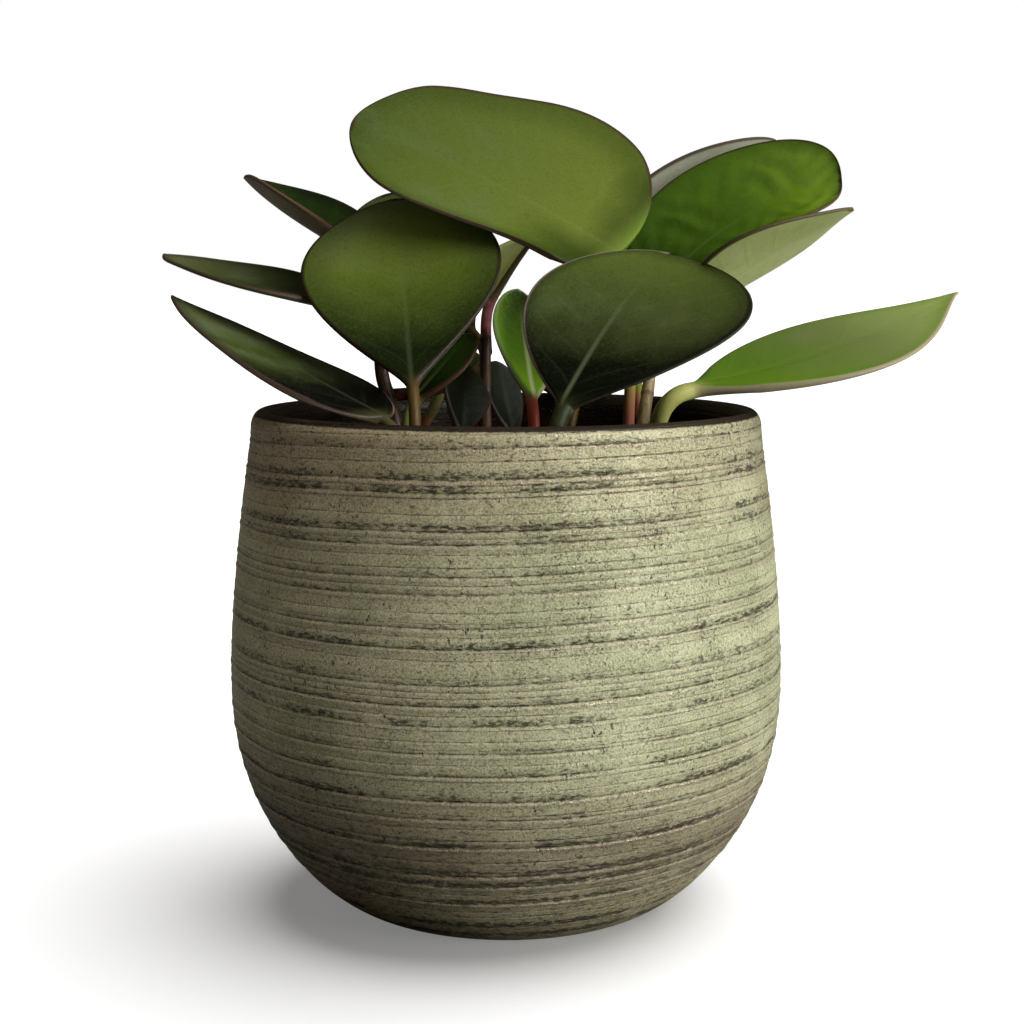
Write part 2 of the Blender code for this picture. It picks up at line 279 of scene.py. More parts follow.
class Growth(Graph):
    """A geometry tree being made, which works on the geometry of its own piece."""

    def __init__(self, name: str) -> None:
        """Starts an empty tree with a geometry going in and one coming out.

        Args:
            name: The tree's name.
        """
        super().__init__(bpy.data.node_groups.new(name, "GeometryNodeTree"))
        for direction in ("INPUT", "OUTPUT"):
            self.tree.interface.new_socket("Geometry", in_out=direction, socket_type="NodeSocketGeometry")
        self.entry = self.tree.nodes.new("NodeGroupInput")
        self.settings: dict[str, object] = {}

    @property
    def geometry(self) -> Value:
        """The geometry that comes in."""
        return Value(self, self.entry.outputs["Geometry"])

    def input(self, name: str, kind: str, value: object) -> Value:
        """Adds a named input.

        Args:
            name: The input's name.
            kind: Float, Int, or Material.
            value: What the modifier gives it.

        Returns:
            The input, for use in the tree.
        """
        socket = self.tree.interface.new_socket(name, in_out="INPUT", socket_type=f"NodeSocket{kind}")
        self.settings[socket.identifier] = value
        return Value(self, self.entry.outputs[name])

    def store(self, geometry: Value, name: str, value: Value, domain: str) -> Value:
        """Stores a number on a geometry's points or instances.

        Args:
            geometry: The geometry.
            name: The attribute's name.
            value: The number.
            domain: POINT or INSTANCE.

        Returns:
            The geometry with the attribute.
        """
        settings = {"data_type": "FLOAT", "domain": domain}
        sockets = {"Geometry": geometry, "Name": name, "Value": value}
        return self.add("GeometryNodeStoreNamedAttribute", settings, sockets)

    def grow(self, piece: Object, result: Value, material: Material) -> Object:
        """Runs the tree on a piece and keeps what it makes as the piece's plain mesh.

        Args:
            piece: The piece, with its starting mesh.
            result: The geometry made.
            material: The finish.

        Returns:
            The piece with its new mesh.
        """
        finish = self.input("Finish", "Material", material)
        real = self.add("GeometryNodeRealizeInstances", sockets={0: result})
        dressed = self.add("GeometryNodeSetMaterial", sockets={"Geometry": real, "Material": finish})
        end = self.tree.nodes.new("NodeGroupOutput")
        self.tree.links.new(dressed.socket, end.inputs["Geometry"])
        modifier = piece.modifiers.new(self.tree.name, "NODES")
        modifier.node_group = self.tree
        for identifier, value in self.settings.items():
            modifier[identifier] = value
        depsgraph = bpy.context.evaluated_depsgraph_get()
        made = bpy.data.meshes.new_from_object(piece.evaluated_get(depsgraph), depsgraph=depsgraph)
        piece.modifiers.clear()
        piece.data = made
        made.name = piece.name
        made.materials.clear()
        made.materials.append(material)
        made.shade_smooth()
        return piece


# ---------------------------------------------------------------- meshes


def stand(name: str, data: bpy.types.ID) -> Object:
    """Puts a new object into the scene.

    Args:
        name: The object's name.
        data: Its mesh, light or camera.

    Returns:
        The object.
    """
    made = bpy.data.objects.new(name, data)
    bpy.context.scene.collection.objects.link(made)
    return made


def place_piece(
    name: str, points: Array, edges: list, faces: list, material: Material
) -> Object:
    """Makes a piece of the object.

    Args:
        name: The piece's name.
        points: Its points in metres.
        edges: Its loose edges as pairs of point numbers.
        faces: Its faces as tuples of point numbers.
        material: Its finish.

    Returns:
        The piece.
    """
    mesh = bpy.data.meshes.new(name)
    mesh.from_pydata(np.asarray(points).tolist(), edges, faces)
    mesh.shade_smooth()
    mesh.materials.append(material)
    return stand(name, mesh)


def wrap_rings(
    name: str, first: Array, rings: Array, last: Array, material: Material
) -> Object:
    """Makes a closed piece from rings of points that follow each other, in metres.

    Args:
        name: The piece's name.
        first: The point that the first ring closes to.
        rings: The rings, counter-clockwise seen from the last one.
        last: The point that the last ring closes to.
        material: Its finish.

    Returns:
        The piece.
    """
    count, around = rings.shape[:2]
    sides = [(side, (side + 1) % around) for side in range(around)]
    end = 1 + (count - 1) * around
    faces = [
        (low + side, low + after, low + around + after, low + around + side)
        for low in range(1, end, around)
        for side, after in sides
    ]
    for side, after in sides:
        faces += [(0, 1 + after, 1 + side), (end + side, end + after, end + around)]
    return place_piece(name, np.concatenate([[first], *rings, [last]]), [], faces, material)


def round_ring(radius: float, height: float | Array, turns: Array) -> Array:
    """A ring of points round the upright axis."""
    return np.stack([radius * np.cos(turns), radius * np.sin(turns), np.full(len(turns), height)], -1)


def hold(piece: Object, name: str, values: Array) -> None:
    """Stores a number for each point of a piece."""
    attribute = piece.data.attributes.new(name, "FLOAT", "POINT")
    attribute.data.foreach_set("value", np.asarray(values, np.float32).ravel())


def give(piece: Object, node: str) -> Object:
    """Gives a finished piece to the frame.

    Args:
        piece: The piece, without live modifiers.
        node: The CAD node that it stands for.

    Returns:
        The piece.
    """
    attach(piece, BODY)
    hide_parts(node)
    return piece


# ---------------------------------------------------------------- the cover pot


@dataclass(frozen=True)
class ThrownLines:
    """One set of lines that the potter's tool left round the wall, the same in both kinds of tree."""

    spacing: float
    seed: float
    tilt: float = 0.026
    wander: float = 2.6

    def read(self, graph: Graph, place: Value) -> tuple[Value, Value, Value]:
        """Finds the nearest line and how it looks there.

        Args:
            graph: The tree that needs it.
            place: The place on the wall, in millimetres.

        Returns:
            The height above the line in millimetres, and how deep and how pitted the line is, 0 to 1.
        """
        x, _, z = graph.split(place)
        drift = graph.noise(graph.scaled(place, (0.55, 0.55, 1.0)), 0.024, 1.0) - 0.5
        height = (z - x * self.tilt + drift * self.wander) / self.spacing
        band = height.floor()
        middle = graph.chance(band, self.seed) * 0.6 + 0.2
        above = (height.part() - middle) * self.spacing
        level = graph.scaled(place, (1.0, 1.0, 0.0))
        worn = graph.noise(level, 0.045, 3.0, 0.6, seed=band * 3.7 + self.seed)
        depth = worn.step(0.3, 0.5) * 0.6 + graph.chance(band, self.seed + 7.3) * 0.4
        pitted = worn.step(0.37, 0.56) * (graph.chance(band, self.seed + 11.9).step(0.0, 0.6) * 0.65 + 0.35)
        return above, depth, pitted


@dataclass(frozen=True)
class RibbedGlaze:
    """Matt sage glaze over brown clay, rubbed to bronze on the lines, the shoulder and the foot.

    The bronze over the left side is painted shade; the pale pink on the raised bands is partly a painted glint.
    """

    sage: Colour = (176, 180, 141)
    sage_deep: Colour = (148, 155, 114)
    bronze: Colour = (182, 158, 120)
    moss: Colour = (118, 130, 86)
    rubbed: Colour = (226, 212, 180)
    # Pale pink painted over the raised bands as a glint, and the tint of their metallic lustre.
    glint: Colour = (240, 208, 190)
    clay: Colour = (82, 68, 54)
    pit: Colour = (50, 38, 34)
    inside: Colour = (34, 25, 19)
    bare: Colour = (150, 128, 104)
    deep: ThrownLines = ThrownLines(6.4, 0.0)
    fine: ThrownLines = ThrownLines(3.3, 40.0)
    foot_fade: tuple[float, float] = (60.0, 26.0)
    shoulder_fade: tuple[float, float] = (108.0, 134.0)
    # Where bronze spreads over the left side, the side away from the key light, as painted shade.
    shaded_side_fade: tuple[float, float] = (30.0, -70.0)

    @cache
    def build(self) -> Material:
        """Makes the material.

        Returns:
            The material.
        """
        skin = Skin("ribbed_glaze")
        place = skin.place
        x, _, z = skin.split(place)
        above, depth, pitted = self.deep.read(skin, place)
        over, faint, _ = self.fine.read(skin, place)
        streaky = skin.scaled(place, (0.5, 0.5, 1.3))
        cloud = skin.noise(place, 0.04, 4.0, 0.6)
        grain = skin.noise(place, 2.0, 3.0, 0.75)
        specks = skin.noise(streaky, 1.05, 4.0, 0.66, seed=3.0)
        blots = skin.noise(streaky, 0.16, 4.0, 0.6, seed=8.0)
        low = (z + (blots - 0.5) * 30.0).step(*self.foot_fade)
        high = (z + (cloud - 0.5) * 40.0).step(*self.shoulder_fade)
        # Painted shade: bronze over the left side, away from the key light.
        bronze_shaded_side = (x + (cloud - 0.5) * 50.0).step(*self.shaded_side_fade)
        mottle = skin.noise(place, 0.95, 4.0, 0.72, seed=15.0)
        band = (above - 0.8).bell(0.0, 1.9) * pitted
        worn = (specks + band * 0.16 + low * 0.07 + high * 0.02 + (blots - 0.5) * 0.22).step(0.6, 0.68)
        broken = specks.step(0.4, 0.56) * 0.8 + 0.2
        hair = above.bell(0.0, 0.38) * depth * broken
        hair = hair.most(over.bell(0.0, 0.3) * faint * 0.55 * broken)
        dark = (band * (specks * 0.6 + mottle * 0.4).step(0.45, 0.55) * 0.95).most(hair)
        # The raised band under each line: relief, lustre, and a pale pink painted glint that stands in for the
        # key light's highlight.
        ridge_glint = above.bell(-0.85, 0.6) * depth + over.bell(-0.6, 0.4) * faint * 0.6
        spark = skin.noise(place, 1.5, 2.0, 0.6, seed=21.0).step(0.42, 0.6)
        ridge_glint = (ridge_glint * (spark * 0.7 + 0.3) * grain.step(0.34, 0.55)).least(1.0)
        crowd = skin.noise(place, 0.09, 3.0, seed=6.0).step(0.4, 0.6)
        pepper = skin.noise(place, 1.5, 3.0, 0.75, seed=12.0).step(0.585, 0.64) * (crowd * 0.6 + 0.25)
        pits = skin.noise(skin.scaled(place, (1.0, 1.0, 0.7)), 0.75, 3.0, 0.7, seed=9.0).step(0.625, 0.66)
        flecks = (pits * (crowd * 0.7 + 0.3)).most(pepper)
        rim = skin.attribute("inner")
        brown = skin.coats(self.inside, (grain.step(0.3, 0.7) * 0.35, self.clay))
        colour = skin.coats(
            self.sage,
            (cloud.step(0.36, 0.64), self.sage_deep),
            (high * (bronze_shaded_side * 0.3 + 0.2) + low * 0.3 + bronze_shaded_side * 0.35, self.bronze),
            (grain.step(0.46, 0.66) * 0.55, self.rubbed),
            (grain.step(0.5, 0.36) * 0.55, self.clay),
            (mottle.step(0.48, 0.34) * 0.5, self.clay),
            (worn * 0.78, self.clay),
            (low * (blots.step(0.3, 0.6) * 0.4 + 0.25) * (z.step(6.0, 34.0) * 0.9 + 0.1), self.clay),
            (above.bell(0.4, 3.0) * pitted * blots.step(0.4, 0.6) * 0.4, self.moss),
            (dark * 0.85, self.pit),
            # Painted glint: pale pink over the raised bands.
            (ridge_glint * 0.6, self.glint),
            (flecks * 0.95, self.pit),
            ((rim + (specks - 0.5) * 0.5).step(0.25, 0.6), brown),
            (z.step(0.5, 0.1), self.bare),
        )
        shine = (high * 0.5 + worn * 0.3 + ridge_glint * 0.9 + grain.step(0.55, 0.7) * 0.3).least(1.0)
        rough = 0.6 - shine * 0.2 - ridge_glint * 0.3 - rim * 0.15 + (grain - 0.5) * 0.2
        relief = grain * 0.35 + specks * 0.3 - flecks * 0.5 - hair * 0.9 - dark * 0.3 + ridge_glint * 0.3
        return skin.finish(colour, rough, relief, 0.4 * MM, Metallic=(shine * 0.5).most(ridge_glint))


@dataclass
class CoverPot:
    """The glazed cover pot: a bellied wall with a rolled lip, ribbed by the thrower's tool."""

    height: float = 142.0
    belly_radius: float = 80.0
    belly_height: float = 68.0
    foot_radius: float = 46.0
    shoulder: float = 62.0
    shoulder_drop: float = 6.0
    wall: float = 5.5
    floor: float = 7.0
    corner: float = 4.0
    lip_half: float = 3.2
    lip_rounding: float = 5.0
    glaze_edge: tuple[float, float] = (38.0, 62.0)
    around: int = 280
    rows: int = 290
    crowding: float = 1.15
    lip_rows: int = 21
    inside_span: tuple[float, float] = (124.0, 13.0)
    inside_rows: int = 24
    line_depth: float = 0.36
    unevenness: float = 0.7
    glaze: RibbedGlaze = field(default_factory=RibbedGlaze)

    def outer(self, height: float) -> float:
        """The wall's outer radius.

        Args:
            height: The height above the table.

        Returns:
            The radius there.
        """
        if height < self.belly_height:
            down = (self.belly_height - height) / self.belly_height
            return self.foot_radius + (self.belly_radius - self.foot_radius) * (1 - down**2.4) ** 0.8
        up = (height - self.belly_height) / self.shoulder
        return self.belly_radius - self.shoulder_drop * up**1.5

    def section(self) -> list[Triple]:
        """The turned outline, from the foot over the lip to the floor.

        Returns:
            Radius, height and share of inner glaze for each ring of the wall.
        """
        lip_base = self.height - self.lip_rounding
        middle = self.outer(lip_base) - self.lip_half
        outside = lip_base * (np.arange(self.rows) / self.rows) ** self.crowding
        rows = [(self.outer(height), height, 0.0) for height in outside]
        for turn in np.linspace(0, np.pi, self.lip_rows):
            share = np.interp(np.degrees(turn), self.glaze_edge, (0.0, 1.0))
            height = lip_base + self.lip_rounding * np.sin(turn)
            rows.append((middle + self.lip_half * np.cos(turn), height, share))
        inside = np.linspace(*self.inside_span, self.inside_rows)
        rows += [(self.outer(height) - self.wall, height, 1.0) for height in inside]
        corner = self.outer(self.floor + 1) - self.wall - self.corner
        rows.append((corner, self.floor + 0.8, 1.0))
        rows.append((self.foot_radius, self.floor, 1.0))
        return rows

    def rib(self, piece: Object) -> Object:
        """Presses the thrown lines into the outside of the wall.

        Args:
            piece: The smooth pot.

        Returns:
            The pot with its lines and its finish.
        """
        growth = Growth("thrown_lines")
        line_depth = growth.input("Line Depth", "Float", self.line_depth * MM)
        uneven = growth.input("Wall Unevenness", "Float", self.unevenness * MM)
        place = growth.scaled(growth.add("GeometryNodeInputPosition"), TO_MM)
        _, _, z = growth.split(place)
        above, depth, _ = self.glaze.deep.read(growth, place)
        over, faint, _ = self.glaze.fine.read(growth, place)
        fade = z.step(7.0, 15.0) * z.step(138.0, 132.0)
        kind = {"data_type": "FLOAT"}
        inner = growth.add("GeometryNodeInputNamedAttribute", kind, {"Name": "inner"}, "Attribute")
        cut = above.bell(0.0, 0.7) * depth + over.bell(0.0, 0.6) * faint * 0.35
        lift = above.bell(-0.9, 0.7) * depth * 0.7 + above.step(-3.2, 3.2) * 0.25
        swell = (growth.noise(place, 0.02, 1.0) - 0.85) * uneven
        offset = ((lift - cut) * line_depth + swell) * fade * (1 - inner)
        normal = growth.add("GeometryNodeInputNormal")
        push = growth.add("ShaderNodeVectorMath", {"operation": "SCALE"}, {0: normal, 3: offset})
        pressed = growth.add("GeometryNodeSetPosition", sockets={"Geometry": growth.geometry, "Offset": push})
        return growth.grow(piece, pressed, self.glaze.build())

    def build(self) -> Object:
        """Makes the pot.

        Returns:
            The pot.
        """
        rows = self.section()
        turns = np.linspace(0, 2 * np.pi, self.around, endpoint=False)
        rings = np.array([round_ring(radius, height, turns) for radius, height, _ in rows]) * MM
        floor = np.array([0.0, 0.0, self.floor]) * MM
        piece = wrap_rings("ribbed_cover_pot", np.zeros(3), rings, floor, self.glaze.build())
        shares = np.repeat([share for *_, share in rows], self.around)
        hold(piece, "inner", np.concatenate([[0.0], shares, [1.0]]))
        return give(self.rib(piece), "pot")


# ---------------------------------------------------------------- the grow pot and the soil


@dataclass(frozen=True)
class NurseryPlastic:
    """Thin black moulded plastic with dull scuffs."""

    colour: Colour = (38, 36, 35)
    scuffed: Colour = (72, 68, 64)

    @cache
    def build(self) -> Material:
        """Makes the material.

        Returns:
            The material.
        """
        skin = Skin("nursery_plastic")
        dust = skin.noise(skin.place, 0.12, 5.0, 0.65)
        grain = skin.noise(skin.place, 2.2, 2.0)
        colour = skin.coats(self.colour, (dust.step(0.45, 0.75) * 0.6, self.scuffed))
        return skin.finish(colour, 0.42 + dust * 0.25, grain, 0.08 * MM)


@dataclass
class GrowPot:
    """The nursery pot: a tapered thin wall with a turned band at the top."""

    finish: NurseryPlastic = field(default_factory=NurseryPlastic)

    def build(self) -> Object:
        """Dresses the CAD grow pot, whose shape is right as it is.

        Returns:
            The grow pot.
        """
        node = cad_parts["grow_pot"]
        node.data.materials.clear()
        node.data.materials.append(self.finish.build())
        return node


@dataclass(frozen=True)
class Peat:
    """Moist peat and bark crumbs."""

    dark: Colour = (44, 32, 24)
    warm: Colour = (92, 66, 44)
    bark: Colour = (126, 92, 60)

    @cache
    def build(self) -> Material:
        """Makes the material.

        Returns:
            The material.
        """
        skin = Skin("peat_and_bark")
        fibre = skin.noise(skin.place, 0.9, 5.0, 0.7)
        chips = skin.attribute("crumb").step(0.6, 0.95) * 0.8
        colour = skin.coats(self.dark, (fibre.step(0.35, 0.7), self.warm), (chips, self.bark))
        return skin.finish(colour, 0.85, fibre, 0.6 * MM)


@dataclass
class PottingMix:
    """The soil, lumpy on top and covered in crumbs."""

    rings: int = 60
    around: int = 120
    taper: float = 12.0
    sunk: float = 2.2
    mound: float = 1.6
    lump: float = 0.5
    crumbs: int = 1500
    crumb_size: float = 1.5
    top_area: float = 0.0092
    finish: Peat = field(default_factory=Peat)

    def scatter(self, piece: Object) -> Object:
        """Strews crumbs over the top.

        Args:
            piece: The soil without its crumbs.

        Returns:
            The soil with its crumbs.
        """
        growth = Growth("soil_crumbs")
        density = growth.input("Crumbs On A Square Metre", "Float", self.crumbs / self.top_area)
        size = growth.input("Crumb Size", "Float", self.crumb_size * MM)
        seed = growth.input("Seed", "Int", 11)
        upward = growth.split(growth.add("GeometryNodeInputNormal"))[2].passes(0.6)
        where = {"Mesh": growth.geometry, "Selection": upward, "Density": density, "Seed": seed}
        spread = growth.add("GeometryNodeDistributePointsOnFaces", sockets=where)
        crumb = growth.add("GeometryNodeMeshIcoSphere", sockets={"Radius": size, "Subdivisions": 1})
        vector = {"data_type": "FLOAT_VECTOR"}
        turn = growth.add("FunctionNodeRandomValue", vector, {0: (0.0,) * 3, 1: (math.tau,) * 3, "Seed": 3})
        sizes = {0: (0.35, 0.3, 0.25), 1: (1.5, 1.0, 0.7), "Seed": 4}
        stretch = growth.add("FunctionNodeRandomValue", vector, sizes)
        how = {"Points": spread, "Instance": crumb, "Rotation": turn, "Scale": stretch}
        strewn = growth.add("GeometryNodeInstanceOnPoints", sockets=how)
        tone = growth.add("FunctionNodeRandomValue", {"data_type": "FLOAT"}, {2: 0.0, 3: 1.0, "Seed": 5}, 1)
        marked = growth.store(strewn, "crumb", tone, "INSTANCE")
        joined = growth.add("GeometryNodeJoinGeometry", sockets={0: marked})
        growth.tree.links.new(growth.geometry.socket, joined.socket.node.inputs[0])
        return growth.grow(piece, joined, self.finish.build())

    def build(self) -> Object:
        """Makes the soil inside the grow pot.

        Returns:
            The soil.
        """
        low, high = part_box("soil")
        radius, top = high.x, high.z - self.sunk * MM
        turns = np.linspace(0, 2 * np.pi, self.around, endpoint=False)
        rings = [round_ring(radius - self.taper * MM, low.z, turns), round_ring(radius, top, turns)]
        for ring in range(1, self.rings):
            reach = 1 - ring / self.rings
            x, y = radius * reach * np.cos(turns), radius * reach * np.sin(turns)
            lumps = np.sin(x * 260 + 1.3) * np.sin(y * 310 + 0.4) + 0.6 * np.sin(x * 610 + y * 480)
            height = top + (1 - reach**2) * self.mound * MM + lumps * self.lump * MM * min(1.0, ring / 6)
            rings.append(round_ring(radius * reach, height, turns))
        ends = np.array([[0.0, 0.0, low.z], [0.0, 0.0, top + self.mound * MM]])
        piece = wrap_rings("peat_soil", ends[0], np.array(rings), ends[1], self.finish.build())
        return give(self.scatter(piece), "soil")


# ---------------------------------------------------------------- stems


@dataclass(frozen=True)
class StemSkin:
    """Smooth fleshy bark with darker rings where leaves have grown."""

    name: str
    slot: str
    base: Colour
    light: Colour
    ring: Colour

    @cache
    def build(self) -> Material:
        """Makes the material.

        Returns:
            The material.
        """
        skin = Skin(self.name)
        streaks = skin.noise(skin.scaled(skin.place, (1.0, 1.0, 0.18)), 0.9, 4.0, 0.6)
        flecks = skin.noise(skin.place, 1.7, 2.0, 0.5, seed=4.0)
        colour = skin.coats(
            self.base,
            (streaks.step(0.35, 0.7), self.light),
            (flecks.step(0.58, 0.68) * 0.5, self.ring),
            (skin.attribute("ring") * 0.8, self.ring),
        )
        return skin.finish(colour, 0.4 + streaks * 0.2, streaks, 0.2 * MM, Coat_Weight=0.1)


BROWN_STEM = StemSkin("stem_brown_bark", "stem_brown", (66, 46, 34), (96, 68, 46), (40, 26, 20))
TAN_STEM = StemSkin("stem_tan_bark", "stem_tan", (140, 118, 78), (176, 158, 110), (96, 58, 40))


@dataclass
class Stem:
    """One stem through a few points, tapering from the soil to its bud."""

    node: str
    points: tuple[Triple, ...]
    foot: float
    top: float
    skin: StemSkin
    ring_spacing: float = 15.0
    bud: float = 2.3
    rings: int = 150
    around: int = 22

    def path(self, steps: int = 10) -> Array:
        """A smooth curve through the points, in millimetres.

        Args:
            steps: Places from one point to the next.

        Returns:
            The places, with the bud's tip last.
        """
        given = np.array(self.points, float)
        ends = np.concatenate([[2 * given[0] - given[1]], given, [2 * given[-1] - given[-2]]])
        made = []
        for i in range(len(given) - 1):
            before, start, end, after = ends[i : i + 4]
            for t in np.arange(steps) / steps:
                curve = 2 * start + (end - before) * t + (2 * before - 5 * start + 4 * end - after) * t**2
                made.append((curve + (3 * start - before - 3 * end + after) * t**3) / 2)
        tip = given[-1] - made[-1]
        return np.array([*made, given[-1], given[-1] + tip / np.linalg.norm(tip) * self.bud])

    def swell(self, piece: Object) -> Object:
        """Grows the round stem along its path.

        Args:
            piece: The path as edges.

        Returns:
            The stem.
        """
        growth = Growth(f"{self.node}_growth")
        foot = growth.input("Foot Radius", "Float", self.foot * MM)
        top = growth.input("Top Radius", "Float", self.top * MM)
        spacing = growth.input("Ring Spacing", "Float", self.ring_spacing * MM)
        line = growth.add("GeometryNodeMeshToCurve", sockets={"Mesh": growth.geometry})
        fine = growth.add("GeometryNodeResampleCurve", sockets={"Curve": line, "Count": self.rings})
        along = growth.add("GeometryNodeSplineParameter")
        ring = (along.output("Length") / spacing).part().bell(0.5, 0.07)
        taper = foot + (top - foot) * along
        bud = 1 - along.step(0.965, 1.0) * 0.8
        wobble = growth.noise(growth.add("GeometryNodeInputPosition"), 220.0, 2.0) - 0.5
        radius = (taper * (1 + ring * 0.1 + wobble * 0.1)) * bud
        marked = growth.store(fine, "ring", ring, "POINT")
        profile = {"Resolution": self.around, "Radius": 1.0}
        circle = growth.add("GeometryNodeCurvePrimitiveCircle", sockets=profile)
        how = {"Curve": marked, "Profile Curve": circle, "Scale": radius, "Fill Caps": True}
        return growth.grow(piece, growth.add("GeometryNodeCurveToMesh", sockets=how), self.skin.build())

    def build(self) -> Object:
        """Makes the stem.

        Returns:
            The stem.
        """
        path = self.path() * MM
        edges = [(i, i + 1) for i in range(len(path) - 1)]
        piece = place_piece(f"{self.node}_bark", path, edges, [], self.skin.build())
        return give(self.swell(piece), self.node)


# ---------------------------------------------------------------- leaves


VEINS = 6.5  # side veins on each half of a leaf
VEIN_SLANT = 1.5  # how many veins' spacing one runs toward the tip
FAR = 99.0  # a distance past any margin, in millimetres
MARKS = ("along", "across", "reach", "rim", "under")  # what each leaf's mesh holds


@dataclass(frozen=True)
class LeafSkin:
    """Fleshy waxy leaf: green above, a paler underside and a thin red-purple margin.

    `base`, `middle` and `tip` are the green above from the stalk to the point; `base_reach` and `middle_reach`
    say how far the first two go.  The dark `base` is partly the leaf's own green and partly painted shade.
    `bloom` clouds it, and painted shade darkens its margins and the near half of its base.
    """

    name: str
    base: Colour
    middle: Colour
    tip: Colour
    bloom: Colour = (92, 104, 74)
    under: Colour = (172, 178, 128)
    under_light: Colour = (200, 200, 158)
    margin: Colour = (70, 36, 30)
    far_margin: Colour = (60, 40, 26)
    midrib: Colour = (120, 130, 92)
    stalk: Colour = (112, 118, 58)
    stalk_foot: Colour = (120, 66, 42)
    slot: str = "leaf_green"
    rough: float = 0.42
    rib_share: float = 0.3
    bloom_share: float = 0.5
    # How far from the margin painted shade darkens the blade, in millimetres.
    painted_edge_shade_reach: float = 7.0
    foot_start: float = -0.35
    base_reach: float = 0.14
    middle_reach: float = 0.52
    wrinkle: float = 0.0
    # How much painted shade darkens the near half of the base, where the blade curves away from the light.
    painted_shade_side: float = 0.0

    @cache
    def build(self) -> Material:
        """Makes the material.

        Returns:
            The material.
        """
        skin = Skin(self.name)
        along, across, reach, rim, under = (skin.attribute(name) for name in MARKS)
        cloud = skin.noise(skin.place, 0.045, 3.0, 0.55)
        mottle = skin.noise(skin.place, 0.35, 4.0, 0.6, seed=2.0)
        grain = skin.noise(skin.place, 1.7, 3.0, 0.7, seed=5.0)
        veins = (along * VEINS - reach * VEIN_SLANT).part().bell(0.5, 0.12)
        veins = veins * reach.step(0.02, 0.2) * reach.step(1.0, 0.7)
        # The dark base green by the stalk is partly the leaf's own colour and partly painted shade.
        stops = [(self.base_reach, self.base), (self.middle_reach, self.middle), (1.0, self.tip)]
        rib = abs(across).step(1.2, 0.1) * along.step(0.9, 0.05)
        upper = skin.coats(
            skin.ramp(along + (cloud - 0.5) * 0.2, stops),
            (cloud.step(0.47, 0.68) * along.step(0.2, 0.55) * self.bloom_share, self.bloom),
            # Painted shade: darker towards the margins, where the blade curves away from the light.
            (rim.step(self.painted_edge_shade_reach, 0.5) * 0.5, self.base),
            # Painted shade over the near half of the base.
            (across.step(-2.0, 14.0) * along.step(0.42, 0.12) * self.painted_shade_side, self.base),
            (grain.step(0.5, 0.68) * along.step(0.0, 0.4) * 0.22, self.bloom),
            (grain.step(0.5, 0.34) * 0.3, self.base),
            (veins * 0.025, self.midrib),
            (rib * self.rib_share, self.midrib),
        )
        lower = skin.coats(
            self.under,
            (cloud.step(0.35, 0.65), self.under_light),
            (grain.step(0.5, 0.7) * 0.25, self.under_light),
            (grain.step(0.5, 0.34) * 0.2 + mottle.step(0.5, 0.7) * 0.12, self.middle),
            (abs(across).step(1.5, 0.4) * along.step(0.95, 0.2) * 0.5, self.under_light),
        )
        stalk = skin.coats(
            self.stalk,
            (along.step(self.foot_start, self.foot_start - 0.3), self.stalk_foot),
            (mottle.step(0.5, 0.7) * 0.4, self.stalk_foot),
        )
        edge = (rim + (mottle - 0.5) * 0.5).step(1.5, 0.5) * 0.9
        rim_colour = skin.coats(self.far_margin, (across.step(-0.5, 0.5), self.margin))
        colour = skin.coats(upper, (under, lower), (edge, rim_colour), (along.step(0.08, -0.03), stalk))
        rough = self.rough + (grain - 0.5) * 0.2 + under * 0.12
        height = grain * 0.35 + mottle * (0.4 + 0.5 * self.wrinkle) * (1 - under * 0.4) + veins * 0.12
        return skin.finish(colour, rough, height, 0.22 * MM, Specular_IOR_Level=0.22)


